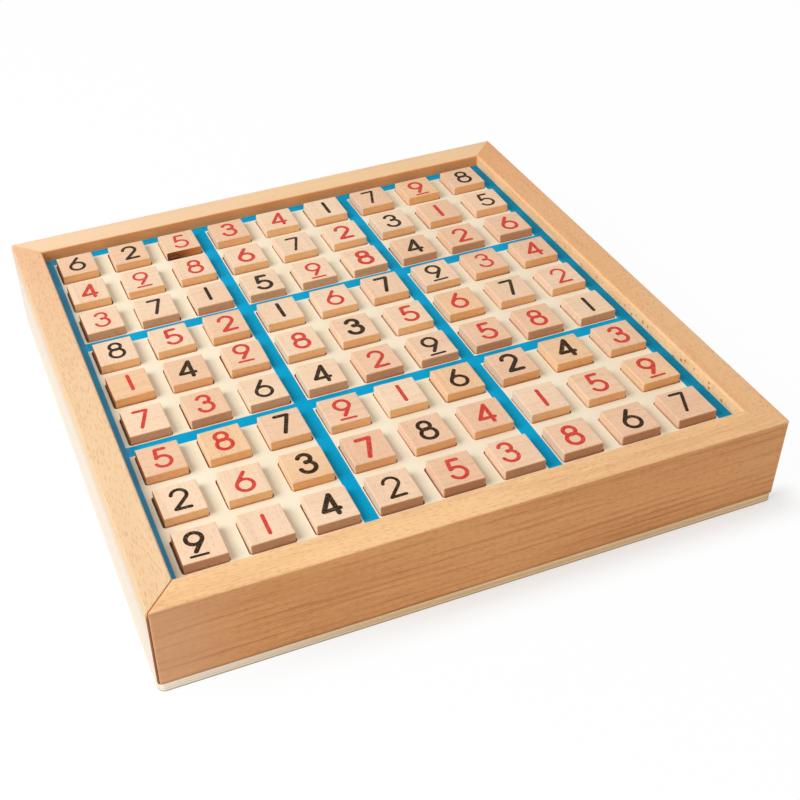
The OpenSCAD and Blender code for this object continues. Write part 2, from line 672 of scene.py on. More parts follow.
@dataclass(frozen=True)
class BeechFinish(Finish):
    """Sanded beech under a thin satin lacquer, with tints by facing that are partly its own tone and
    partly painted light and shade.
    """

    figure: BeechFigure
    grain: Grain = Grain.LEFT_TO_RIGHT
    cut_from: Triple = (0.0, 0.0, 0.0)
    tints: tuple[tuple[Facing, Colour], ...] = ()
    marks: tuple[Mark, ...] = ()
    roughness: float = 0.48
    fibre_roughness: float = 0.12
    fleck_roughness: float = 0.1
    specular: float = 0.2
    relief: float = 0.03
    fleck_relief: float = 0.8

    def shade(self, graph: ShaderGraph) -> Wire:
        """Lays the tones and the marks over the figure.

        Args:
            graph: The material's graph.

        Returns:
            The shader.
        """
        place = graph.node(
            "ShaderNodeMapping",
            {},
            {
                "Vector": graph.object_place(),
                "Location": self.cut_from,
                "Rotation": (0.0, 0.0, self.grain.value),
                "Scale": (1 / MM, 1 / MM, 1 / MM),
            },
        )
        colour, flecks, fibre = self.figure.paint(graph, place)
        # Tints by facing: partly the wood's own tone, partly painted light and shade.
        for facing, tint in self.tints:
            colour = graph.tint(facing.share(graph), colour, tint)
        for mark in self.marks:
            colour = mark.add(graph, colour)
        rough = self.roughness + fibre * self.fibre_roughness + flecks * self.fleck_roughness
        return graph.surface(
            Base_Color=colour,
            Roughness=rough,
            Specular_IOR_Level=self.specular,
            Normal=graph.bump(fibre - flecks * self.fleck_relief, self.relief),
        )


@dataclass(frozen=True)
class PlywoodFinish(Finish):
    """Plywood: wide figure on its faces, three plies along its edge, painted shade along its underside
    and foot, and painted light towards its left end.
    """

    bottom: float
    thickness: float
    face: Colour = srgb(242, 211, 168)
    face_dark: Colour = srgb(222, 187, 140)
    core: Colour = srgb(232, 198, 152)
    glue: Colour = srgb(156, 124, 88)
    left: Colour = srgb(238, 229, 216)
    # Painted light: paler towards the left end, where the lamp's light falls.
    painted_light_colour: Colour = srgb(255, 246, 230)
    painted_light_share: float = 0.8
    painted_light_left: Span = (-25.0, -100.0)
    lower_ply: float = 0.4
    upper_ply: float = 0.3
    ply_soft: float = 0.06
    ply_waver: float = 0.3
    glue_width: float = 0.14
    lower_glue: float = 0.55
    upper_glue: float = 0.2
    # Painted shade along the underside and the foot of the edge.
    foot_shade_share: float = 0.75
    under: Span = (0.8, 0.2)
    figure_contrast: Span = (0.38, 0.68)
    figure_strength: float = 0.55
    fibre_strength: float = 0.5
    end_middle: float = 0.4
    end_strength: float = 0.5
    roughness: float = 0.62
    fibre_roughness: float = 0.16
    specular: float = 0.15
    relief: float = 0.04
    waver: Noise = Noise((0.05, 0.05, 0.0), 1.0)
    figures: Noise = Noise((0.012, 0.11, 0.5), 4.0)
    fibres: Noise = Noise((0.12, 1.6, 1.6), 3.0)
    ends: Noise = Noise((1.4, 1.4, 0.9), 3.0)

    @classmethod
    def for_sheet(cls, node: str, **colours: Colour) -> "PlywoodFinish":
        """Plywood whose plies follow the height of a sheet's own edge."""
        low, high = box_mm(node)
        return cls(bottom=low.z, thickness=high.z - low.z, **colours)

    def shade(self, graph: ShaderGraph) -> Wire:
        """Stacks the plies, with glue between them.

        Args:
            graph: The material's graph.

        Returns:
            The shader.
        """
        place = graph.millimetres()
        x, _, z = graph.axes(place)
        level = z - self.bottom
        rise = level + (graph.noise(place, self.waver) - 0.5) * self.ply_waver
        soft = self.ply_soft
        lower = self.thickness * self.lower_ply
        upper = self.thickness * (1 - self.upper_ply)
        inside = rise.ramp(lower - soft, lower + soft) * rise.ramp(upper + soft, upper - soft)
        glue_and_foot_shade = (
            abs(rise - lower).ramp(self.glue_width, 0.0) * self.lower_glue,
            abs(rise - upper).ramp(self.glue_width, 0.0) * self.upper_glue,
            # Painted shade at the foot, laid on in the glue colour.
            level.ramp(*self.under) * self.foot_shade_share,
        )
        figure = graph.noise(place, self.figures).ramp(*self.figure_contrast)
        fibre = graph.noise(place, self.fibres)
        ends = graph.noise(place, self.ends)
        depth = figure * self.figure_strength + (fibre - 0.5) * self.fibre_strength
        face = graph.mix(depth, self.face, self.face_dark)
        core = graph.mix((ends - self.end_middle) * self.end_strength, self.core, self.glue)
        plies = graph.mix(inside, face, core)
        # Painted light towards the left end.
        painted_light_left = x.ramp(*self.painted_light_left) * self.painted_light_share
        plies = graph.mix(painted_light_left, plies, self.painted_light_colour)
        plies = graph.tint(Facing.LEFT.share(graph), plies, self.left)
        return graph.surface(
            Base_Color=graph.mix(functools.reduce(Wire.larger, glue_and_foot_shade), plies, self.glue),
            Roughness=self.roughness + fibre * self.fibre_roughness,
            Specular_IOR_Level=self.specular,
            Normal=graph.bump(fibre + ends * inside, self.relief),
        )


@dataclass(frozen=True)
class BoardPrint(Finish):
    """Cream paint with blue block lines and a blue border, on a board with brown cut edges; the border
    has painted shade along the right rail's foot and painted light on its left side.
    """

    top: float
    middle_x: float
    line_middle: float
    line_half: float = 2.6
    border_left: float = -98.45
    border_slant: float = 0.0075
    border_right: float = 95.9
    border_back: float = 97.1
    border_front: float = -97.1
    edge_soft: float = 0.08
    edge_drift: float = 0.16
    cream: Colour = srgb(250, 241, 218)
    cream_dark: Colour = srgb(243, 230, 202)
    cream_clouds: float = 0.6
    blue: Colour = srgb(3, 168, 216)
    blue_dark: Colour = srgb(1, 154, 202)
    blue_clouds: float = 0.7
    # Painted shade: a darker blue along the foot of the right rail.
    rail_foot_shade_blue: Colour = srgb(2, 104, 142)
    rail_foot_shade_share: float = 0.5
    rail_foot_shade_width: float = 2.0
    # Painted light: a paler blue on the left border, which lies in the left rail's shade.
    blue_painted_light: Colour = srgb(72, 172, 220)
    pale: Span = (-97.0, -98.0)
    raw: Colour = srgb(232, 150, 90)
    raw_dark: Colour = srgb(205, 120, 66)
    paint: float = 0.03
    speck_strength: float = 0.3
    roughness: float = 0.42
    speck_roughness: float = 0.12
    raw_roughness: float = 0.3
    specular: float = 0.05
    relief: float = 0.015
    drifts: Noise = Noise((0.5, 0.5, 0.5))
    clouds: Noise = Noise((0.06, 0.06, 0.06), 3.0)
    specks: Noise = Noise((2.4, 2.4, 2.4))
    layers: Noise = Noise((0.4, 0.4, 3.0), 3.0)

    def blue_share(self, graph: ShaderGraph, place: Wire) -> Wire:
        """Where the print is blue, with edges a little uneven like a screen print.

        Args:
            graph: The material's graph.
            place: The place in millimetres.

        Returns:
            The share of blue, from 0 to 1.
        """
        drift = (graph.noise(place, self.drifts) - 0.5) * self.edge_drift
        x, y, _ = graph.axes(place)
        outside = (
            abs(abs(x - self.middle_x) - self.line_middle) - self.line_half,
            abs(abs(y) - self.line_middle) - self.line_half,
            x - y * self.border_slant - self.border_left,
            self.border_right - x,
            self.border_back - y,
            y - self.border_front,
        )
        shares = [(line + drift).ramp(self.edge_soft, -self.edge_soft) for line in outside]
        return functools.reduce(Wire.larger, shares)

    def shade(self, graph: ShaderGraph) -> Wire:
        """Prints the board and leaves its cut edges raw.

        Args:
            graph: The material's graph.

        Returns:
            The shader.
        """
        place = graph.millimetres()
        x, _, z = graph.axes(place)
        cloud = graph.noise(place, self.clouds).contrast()
        speck = graph.noise(place, self.specks)
        uneven = (speck - 0.5) * self.speck_strength
        cream = graph.mix(cloud * self.cream_clouds + uneven, self.cream, self.cream_dark)
        blue = graph.mix(cloud * self.blue_clouds + uneven, self.blue, self.blue_dark)
        # Painted shade along the foot of the right rail.
        painted_shade = x.ramp(self.border_right, self.border_right + self.rail_foot_shade_width) * self.rail_foot_shade_share
        blue = graph.mix(painted_shade, blue, self.rail_foot_shade_blue)
        # Painted light on the left border, in the left rail's shade.
        blue = graph.mix(x.ramp(*self.pale), blue, self.blue_painted_light)
        painted = graph.mix(self.blue_share(graph, place), cream, blue)
        layer = graph.noise(place, self.layers).contrast()
        raw = graph.mix(layer, self.raw, self.raw_dark)
        below = z.ramp(self.top - self.paint, self.top - 2 * self.paint)
        return graph.surface(
            Base_Color=graph.mix(below, painted, raw),
            Roughness=self.roughness + speck * self.speck_roughness + below * self.raw_roughness,
            Specular_IOR_Level=self.specular,
            Normal=graph.bump(speck, self.relief),
        )


@dataclass(frozen=True)
class TileFinish(Finish):
    """Unlacquered beech of the tiles: pale rosy tops, and front and back faces of a deeper orange that
    is partly the saw-cut wood and partly painted warm shade.
    """

    pale: BeechFigure = BeechFigure(
        light=srgb(250, 220, 189),
        dark=srgb(228, 184, 149),
        fleck=srgb(184, 130, 94),
        line_step=3.2,
        line_tilt=60.0,
        line_strength=0.25,
        fibre_strength=0.85,
        fleck_share=0.7,
        fleck_strength=0.3,
        fleck_length=2.6,
        fleck_width=0.32,
    )
    rosy: Colour = srgb(246, 230, 222)
    rosy_tones: Span = (0.45, 1.0)
    rosy_share: float = 0.8
    amber: Colour = srgb(252, 240, 224)
    amber_tones: Span = (0.12, 0.0)
    sawn_and_shade: Colour = srgb(255, 235, 200)
    last_row_shade: Colour = srgb(252, 228, 230)
    # Painted shade on the left faces, which look towards the lamp.
    left: Colour = srgb(246, 249, 253)
    # The bark colours also paint the left rail's shade on the left faces of the first column.
    under_bark: Colour = srgb(228, 187, 142)
    under_bark_span: Span = (0.0, 0.3)
    bark: Colour = srgb(84, 32, 10)
    bark_span: Span = (0.25, 0.95)
    bark_least: float = 0.7
    bark_patches: float = 0.4
    roughness: float = 0.56
    fibre_roughness: float = 0.18
    specular: float = 0.15
    relief: float = 0.03
    patches: Noise = Noise((0.25, 0.25, 1.2), 3.0)

    def wood(self, graph: ShaderGraph) -> tuple[Wire, Wire]:
        """The tiles' timber, for the tiles and for ink that has worn thin.

        Args:
            graph: The material's graph.

        Returns:
            The colour and the height of the fibres.
        """
        place = graph.attribute(GRAIN_PLACE, "Vector")
        names = (TILE_TONE, SAWN_AND_SHADE_SHARE, BARK_AND_SHADE_SHARE)
        tone, sawn_and_shade, bark = (graph.attribute(name, "Fac") for name in names)
        colour, _, fibre = self.pale.paint(graph, place)
        # A share over 1 adds painted shade to the front and back of the last row of each block.
        tints = (
            (tone.ramp(*self.rosy_tones) * self.rosy_share, self.rosy),
            (tone.ramp(*self.amber_tones), self.amber),
            # Front and back faces: partly the saw-cut wood, partly painted warm shade.
            (sawn_and_shade, self.sawn_and_shade),
            (sawn_and_shade - 1, self.last_row_shade),
            # Painted shade: the left faces, lit by the lamp, are made a little darker and less orange.
            (Facing.LEFT.share(graph), self.left),
            (bark.ramp(*self.under_bark_span), self.under_bark),
        )
        for share, tint in tints:
            colour = graph.tint(share, colour, tint)
        patch = graph.noise(place, self.patches).contrast()
        cover = patch * self.bark_patches + self.bark_least
        return graph.mix(bark.ramp(*self.bark_span) * cover, colour, self.bark), fibre

    def shade(self, graph: ShaderGraph) -> Wire:
        """Leaves the timber bare."""
        colour, fibre = self.wood(graph)
        return graph.surface(
            Base_Color=colour,
            Roughness=self.roughness + fibre * self.fibre_roughness,
            Specular_IOR_Level=self.specular,
            Normal=graph.bump(fibre, self.relief),
        )


@dataclass(frozen=True)
class InkFinish(Finish):
    """Printed ink that lets a little of the wood through where it is thin."""

    timber: TileFinish
    full: Colour
    thin: Colour
    thin_span: Span = (0.35, 0.7)
    wear: float = 0.25
    wear_span: Span = (0.52, 0.74)
    roughness: float = 0.4
    patch_roughness: float = 0.2
    specular: float = 0.08
    relief: float = 0.02
    patches: Noise = Noise((0.5, 1.6, 1.6), 3.0)
    grains: Noise = Noise((0.7, 5.0, 5.0))

    def shade(self, graph: ShaderGraph) -> Wire:
        """Lays the ink over the timber.

        Args:
            graph: The material's graph.

        Returns:
            The shader.
        """
        place = graph.attribute(GRAIN_PLACE, "Vector")
        patch = graph.noise(place, self.patches)
        grain = graph.noise(place, self.grains)
        ink = graph.mix(patch.ramp(*self.thin_span), self.full, self.thin)
        wood, fibre = self.timber.wood(graph)
        bare = grain.ramp(*self.wear_span) * self.wear
        return graph.surface(
            Base_Color=graph.mix(bare, ink, wood),
            Roughness=self.roughness + patch * self.patch_roughness,
            Specular_IOR_Level=self.specular,
            Normal=graph.bump(fibre, self.relief),
        )


@dataclass(frozen=True)
class FloorFinish(Finish):
    """A white floor that keeps the object's shadow, most clearly along its front."""

    low: Vector
    high: Vector
    tint: Colour = (0.935, 0.957, 0.97, 1.0)
    glow: float = 0.96
    shadow_glow: float = 0.45
    reach: float = 15.0
    under: float = 7.5
    left_fade: float = 120.0

    def shade(self, graph: ShaderGraph) -> Wire:
        """Shows the floor as white, and less so where the shadow should tell.

        Args:
            graph: The material's graph.

        Returns:
            The shader.
        """
        plain = graph.node("ShaderNodeBsdfDiffuse", {}, {"Color": self.tint})
        glow = graph.node("ShaderNodeEmission", {}, {"Color": WHITE, "Strength": 1.0})
        x, y, _ = graph.axes(graph.millimetres())
        low, high = self.low, self.high
        near = y.ramp(low.y - self.reach, low.y) * y.ramp(low.y + self.under, low.y)
        near = near * x.ramp(low.x, low.x + self.left_fade) * x.ramp(high.x + self.reach, high.x)
        share = graph.seen() * (self.glow - near * (self.glow - self.shadow_glow))
        return graph.node("ShaderNodeMixShader", {}, {0: share, 1: plain, 2: glow})


@dataclass(frozen=True)
class Line:
    """A straight stroke between two points in millimetres."""

    start: Point
    end: Point


@dataclass(frozen=True)
class Arc:
    """A round stroke: its middle, its radius in millimetres, and its angles in degrees."""

    middle: Point
    radius: float
    first: float
    last: float

    def at(self, angle: float) -> Point:
        """The point of the arc at an angle."""
        turn = math.radians(angle)
        return (
            self.middle[0] + self.radius * math.cos(turn),
            self.middle[1] + self.radius * math.sin(turn),
        )


Stroke = Union[Line, Arc]

TOP = 4.6
FOOT = -4.6

TWO_BOW = Arc((0.05, 2.0), 2.6, 172, -42)
THREE_UPPER = Arc((0.1, 2.45), 2.15, 158, -90)
THREE_LOWER = Arc((0.0, -1.95), 2.65, 90, -172)
FIVE_BOWL = Arc((0.2, -1.8), 2.8, 135, -158)
SIX_RING = Arc((0.0, -1.75), 2.85, 0, 360)
EIGHT_UPPER = Arc((0.0, 2.47), 2.13, 0, 360)
EIGHT_LOWER = Arc((0.0, -1.9), 2.7, 0, 360)
NINE_RING = Arc((0.0, 2.0), 2.65, 0, 360)
NINE_UNDERLINE = Line((-2.75, -5.75), (2.75, -5.75))
UNDERLINE_WIDTH = 0.95

DIGITS: dict[str, tuple[Stroke, ...]] = {
    "1": (Line((0.1, 4.3), (0.1, -4.3)),),
    "2": (TWO_BOW, Line(TWO_BOW.at(-42), (-2.4, FOOT)), Line((-2.4, FOOT), (2.75, FOOT))),
    "3": (THREE_UPPER, THREE_LOWER),
    "4": (
        Line((1.3, TOP), (1.45, FOOT)),
        Line((1.3, TOP), (-2.95, -2.4)),
        Line((-2.95, -2.4), (2.6, -2.4)),
    ),
    "5": (FIVE_BOWL, Line((-1.3, TOP), FIVE_BOWL.at(135)), Line((-1.3, TOP), (2.0, TOP))),
    "6": (SIX_RING, Line((0.85, TOP), SIX_RING.at(145))),
    "7": (Line((-2.4, TOP), (2.2, TOP)), Line((2.2, TOP), (-1.1, FOOT))),
    "8": (EIGHT_UPPER, EIGHT_LOWER),
    "9": (NINE_RING, Line(NINE_RING.at(-35), (-0.7, -3.9))),
}


@dataclass
class Pen:
    """Lays strokes with round ends on a flat surface, as thin films."""

    width: float
    film: float = 0.04
    sunk: float = 0.02
    step_up: float = 0.006
    arc_step: float = 12.0
    least_arc_steps: int = 6
    end_steps: int = 8
    merge: float = 1e-4

    def _end(self, mesh: bmesh.types.BMesh, middle: Vector, out: Vector) -> None:
        """Adds the half disc at the end of a stroke.

        Args:
            mesh: The digit's mesh.
            middle: The middle of the disc.
            out: The way out of the stroke.
        """
        side = Vector((out.y, -out.x, 0.0)) * (self.width / 2)
        rim = mesh.verts.new(middle + side)
        spoke = mesh.edges.new((mesh.verts.new(middle), rim))
        bmesh.ops.spin(
            mesh,
            geom=[*spoke.verts, spoke],
            cent=middle,
            axis=(0.0, 0.0, 1.0),
            angle=math.pi,
            steps=self.end_steps,
        )

    def _line(self, mesh: bmesh.types.BMesh, line: Line) -> None:
        """Adds a straight stroke: an edge across it that is extruded along it.

        Args:
            mesh: The digit's mesh.
            line: The stroke.
        """
        start, end = (Vector((*point, 0.0)) for point in (line.start, line.end))
        along = (end - start).normalized()
        side = Vector((-along.y, along.x, 0.0)) * (self.width / 2)
        edge = mesh.edges.new((mesh.verts.new(start + side), mesh.verts.new(start - side)))
        made = bmesh.ops.extrude_edge_only(mesh, edges=[edge])
        moved = [part for part in made["geom"] if isinstance(part, bmesh.types.BMVert)]
        bmesh.ops.translate(mesh, verts=moved, vec=end - start)
        self._end(mesh, start, -along)
        self._end(mesh, end, along)

    def _arc(self, mesh: bmesh.types.BMesh, arc: Arc) -> None:
        """Adds a round stroke: an edge across it that is spun round its middle.

        Args:
            mesh: The digit's mesh.
            arc: The stroke.
        """
        middle = Vector((*arc.middle, 0.0))
        turn = arc.last - arc.first
        whole = abs(turn) >= 360
        out = Vector((*arc.at(arc.first), 0.0)) - middle
        side = out.normalized() * (self.width / 2)
        ends = [mesh.verts.new(middle + out + side), mesh.verts.new(middle + out - side)]
        edge = mesh.edges.new(ends)
        bmesh.ops.spin(
            mesh,
            geom=[*ends, edge],
            cent=middle,
            axis=(0.0, 0.0, 1.0),
            angle=math.radians(turn),
            steps=max(self.least_arc_steps, round(abs(turn) / self.arc_step)),
            use_merge=whole,
        )
        if whole:
            return
        sense = math.copysign(1.0, turn)
        for angle, way in ((arc.first, -sense), (arc.last, sense)):
            heading = math.radians(angle)
            out = Vector((-math.sin(heading), math.cos(heading), 0.0)) * way
            self._end(mesh, Vector((*arc.at(angle), 0.0)), out)

    def draw(self, strokes: Iterable[Stroke]) -> bmesh.types.BMesh:
        """Draws the strokes of one digit round the origin, each a hair over the one before.

        Args:
            strokes: The digit's strokes.

        Returns:
            A new mesh in millimetres, whose upper side is just over z = 0.
        """
        digit = bmesh.new()
        for count, stroke in enumerate(strokes):
            before = set(digit.verts)
            if isinstance(stroke, Line):
                self._line(digit, stroke)
            else:
                self._arc(digit, stroke)
            added = [vert for vert in digit.verts if vert not in before]
            bmesh.ops.remove_doubles(digit, verts=added, dist=self.merge)
            added = [vert for vert in digit.verts if vert not in before]
            lift = self.film + count * self.step_up
            bmesh.ops.translate(digit, verts=added, vec=(0.0, 0.0, lift))
        flat = list(digit.faces)
        for face in flat:
            if face.normal.z < 0:
                face.normal_flip()
        bmesh.ops.solidify(digit, geom=flat, thickness=self.film + self.sunk)
        bmesh.ops.recalc_face_normals(digit, faces=digit.faces)
        return digit


class Ink(Enum):
    """The colour of a digit, as the number of its material slot."""

    BLACK = 1
    RED = 2


class Weight(Enum):
    """How boldly a digit is printed, as the width of its strokes in millimetres."""

    THIN = 1.1
    COMMON = 1.4
    BOLD = 1.7


class Tone(Enum):
    """Timber that stands out from the common run, as the tone that the tiles' finish reads."""

    AMBER = 0.0
    PALE = 0.35
    ROSY = 1.0


@dataclass
class Tile:
    """One loose number tile, as it happens to lie in its pocket."""

    digit: str
    ink: Ink
    middle: Vector
    side: float
    thickness: float
    chance: random.Random
    weight: Weight = Weight.COMMON
    own_tone: Tone | None = None
    print_shift: Point = (0.0, 0.0)
    bark: bool = False
    # Painted shade of the left rail on the left face, for the first column.
    rail_shaded_left: bool = False
    # Painted shade on the front and back faces, for the last row of a block.
    last_row_shaded: bool = False
    ease: float = 0.35
    ease_steps: int = 3
    most_shift: float = 0.2
    most_turn: float = 1.0
    most_thinner: float = 0.2
    least_tone: float = 0.15
    timber_reach: float = 400.0
    width_spread: float = 0.08
    most_print_shift: float = 0.35
    most_print_turn: float = 2.0
    side_cosine: float = 0.5
    bark_middle: float = 0.67
    bark_slope: float = 0.7
    rail_shade_share: float = 0.7

    def __post_init__(self) -> None:
        """Draws the tile's own place, tone and grain, in a fixed order."""
        shift = [self._spread(self.most_shift) for _ in range(2)]
        turn = math.radians(self._spread(self.most_turn))
        self.thickness -= self.chance.uniform(0.0, self.most_thinner)
        self.tone = self.chance.uniform(self.least_tone, 1.0)
        self.grain_turn = self.chance.choice((0.0, math.pi / 2))
        self.cut_from = Vector([self._spread(self.timber_reach) for _ in range(3)])
        self.pen_width = self.weight.value * (1 + self._spread(self.width_spread))
        self.digit_shift = [offset + self._spread(self.most_print_shift) for offset in self.print_shift]
        self.digit_turn = math.radians(self._spread(self.most_print_turn))
        if self.own_tone is not None:
            self.tone = self.own_tone.value
        place = self.middle + Vector((*shift, 0.0))
        self.stand = Matrix.Translation(place) @ Matrix.Rotation(turn, 4, "Z")

    def _spread(self, most: float) -> float:
        """A draw from either side of zero."""
        return self.chance.uniform(-most, most)

    def block(self) -> bmesh.types.BMesh:
        """The wooden block with eased edges.

        Returns:
            A new mesh in millimetres, round the middle of the block's underside.
        """
        block = bmesh.new()
        size = Matrix.Diagonal((self.side, self.side, self.thickness, 1.0))
        lift = Matrix.Translation((0.0, 0.0, self.thickness / 2))
        bmesh.ops.create_cube(block, size=1.0, matrix=lift @ size)
        bmesh.ops.bevel(
            block,
            geom=block.edges[:],
            offset=self.ease,
            offset_type="OFFSET",
            segments=self.ease_steps,
            profile=0.5,
            affect="EDGES",
            material=-1,
        )
        return block

    def film(self) -> bmesh.types.BMesh:
        """The printed digit.

        Returns:
            A new mesh in millimetres, on the top of the block.
        """
        digit = Pen(self.pen_width).draw(DIGITS[self.digit])
        if self.digit == "9":
            join(digit, Pen(UNDERLINE_WIDTH).draw([NINE_UNDERLINE]))
        place = Matrix.Translation((*self.digit_shift, self.thickness))
        turned = place @ Matrix.Rotation(self.digit_turn, 4, "Z")
        bmesh.ops.transform(digit, matrix=turned, verts=digit.verts)
        for face in digit.faces:
            face.material_index = self.ink.value
        return digit

    def build(self) -> bmesh.types.BMesh:
        """Builds the tile in its place.

        Returns:
            A new mesh in millimetres, with the values that its timber reads.
        """
        tile = self.block()
        sawn_and_shade = tile.faces.layers.float.new(SAWN_AND_SHADE_SHARE)
        bark = tile.loops.layers.float.new(BARK_AND_SHADE_SHARE)
        # Front and back faces take the saw-cut tint, which is partly painted warm shade.
        for face in tile.faces:
            # The last row of each block gets a doubled share: painted shade on its fronts.
            face[sawn_and_shade] = face.normal.y**2 * (2.0 if self.last_row_shaded else 1.0)
            for corner in face.loops:
                if self.bark and face.normal.y < -self.side_cosine:
                    corner[bark] = self.bark_middle - self.bark_slope * corner.vert.co.x / self.side
                # Painted shade: the left faces of the first column take the dark bark colour.
                if self.rail_shaded_left and face.normal.x < -self.side_cosine:
                    corner[bark] = self.rail_shade_share
        join(tile, self.film())
        grain = tile.verts.layers.float_vector.new(GRAIN_PLACE)
        tone = tile.verts.layers.float.new(TILE_TONE)
        turn = Matrix.Rotation(self.grain_turn, 3, "Z")
        for vert in tile.verts:
            vert[grain] = turn @ vert.co + self.cut_from
            vert[tone] = self.tone
        bmesh.ops.transform(tile, matrix=self.stand, verts=tile.verts)
        return tile


# Digits printed clearly off the middle of their tile, by row and column, to half a millimetre.
PRINT_SHIFTS: dict[Cell, Point] = {
    (3, 3): (-1.0, 1.0),
    (5, 1): (0.5, 1.0),
    (5, 3): (-0.5, 1.5),
    (6, 1): (-1.0, 0.5),
    (8, 9): (-0.5, 1.0),
    (9, 1): (-1.0, 0.5),
    (9, 6): (-2.5, 1.0),
    (9, 9): (-1.0, 0.5),
}


@dataclass
class TileSet:
    """All 81 tiles, as sets of the three that share a row and a block."""

    solution: tuple[str, ...] = (
        "625341798",
        "498672315",
        "371598426",
        "852167934",
        "149835672",
        "736429581",
        "587916243",
        "263784159",
        "914253867",
    )
    puzzle: tuple[str, ...] = (
        "62...17.8",
        "....7.3.5",
        ".715..4..",
        "8..1.79..",
        ".4..3..7.",
        "..64.9..1",
        "..7..624.",
        "2.3.8....",
        "9.42...67",
    )
    blocks: tuple[str, ...] = ("left", "middle", "right")
    block_side: int = 3
    bark_cells: Cells = frozenset({(1, 3)})
    tone_cells: tuple[tuple[Tone, Cells], ...] = (
        (
            Tone.AMBER,
            frozenset({(5, 1), (7, 2), (8, 3), (7, 6), (7, 8), (8, 9), (5, 7), (1, 8)}),
        ),
        (Tone.PALE, frozenset({(2, 5), (3, 5)})),
        (Tone.ROSY, frozenset({(3, 7), (3, 8), (6, 7), (6, 8), (8, 4), (9, 8)})),
    )
    weight_cells: tuple[tuple[Weight, Cells], ...] = (
        (
            Weight.THIN,
            frozenset(
                {(1, 3), (1, 7), (2, 2), (2, 5), (2, 9), (3, 1), (3, 5), (4, 8), (5, 9), (9, 4), (9, 9)}
            ),
        ),
        (
            Weight.BOLD,
            frozenset(
                {(2, 4), (2, 8), (3, 4), (3, 6), (5, 5), (7, 7), (7, 8), (8, 3), (8, 4), (9, 3)}
            ),
        ),
    )
    seed: int = 81

    def __post_init__(self) -> None:
        """Makes the finishes that all sets share, in the order of their slots."""
        timber = TileFinish()
        black = InkFinish(timber, srgb(38, 23, 7), srgb(57, 38, 17))
        red = InkFinish(timber, srgb(209, 54, 45), srgb(219, 80, 65))
        self.finishes = [
            timber.build("tile_beech"),
            black.build("black_print"),
            red.build("red_print"),
        ]

    def build_trio(self, row: int, block: int, chance: random.Random) -> bpy.types.Object:
        """Builds one set of three tiles in the place of its solid.

        Args:
            row: The row, from 1 at the back.
            block: The block, from 0 at the left.
            chance: The source of each tile's own place and tone.

        Returns:
            The new piece, riding on its body.
        """
        body = f"row{row}_{self.blocks[block]}"
        node = f"{body}_tiles"
        low, high = box_mm(node)
        side = high.y - low.y
        step = (high.x - low.x - side) / (self.block_side - 1)
        trio = bmesh.new()
        for count in range(self.block_side):
            column = block * self.block_side + count + 1
            cell = (row, column)
            tile = Tile(
                digit=self.solution[row - 1][column - 1],
                ink=Ink.RED if self.puzzle[row - 1][column - 1] == "." else Ink.BLACK,
                middle=Vector((low.x + side / 2 + count * step, low.y + side / 2, low.z)),
                side=side,
                thickness=high.z - low.z,
                chance=chance,
                weight=pick(cell, self.weight_cells, Weight.COMMON),
                own_tone=pick(cell, self.tone_cells, None),
                print_shift=PRINT_SHIFTS.get(cell, (0.0, 0.0)),
                bark=cell in self.bark_cells,
                # Painted shade of the left rail on the first column's left faces.
                rail_shaded_left=column == 1,
                # Painted shade on the fronts of the last row of each block.
                last_row_shaded=row % self.block_side == 0,
            )
            join(trio, tile.build())
        bmesh.ops.scale(trio, vec=(MM, MM, MM), verts=trio.verts)
        piece = settle(trio, f"{body}_set", self.finishes)
        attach(piece, body)
        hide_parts(node)
        return piece

    def build(self) -> None:
        """Builds all sets, row by row from the back."""
        chance = random.Random(self.seed)
        for row in range(1, len(self.solution) + 1):
            for block in range(len(self.blocks)):
                piece = self.build_trio(row, block, chance)
                LOG.info("%s: %d faces", piece.name, len(piece.data.polygons))


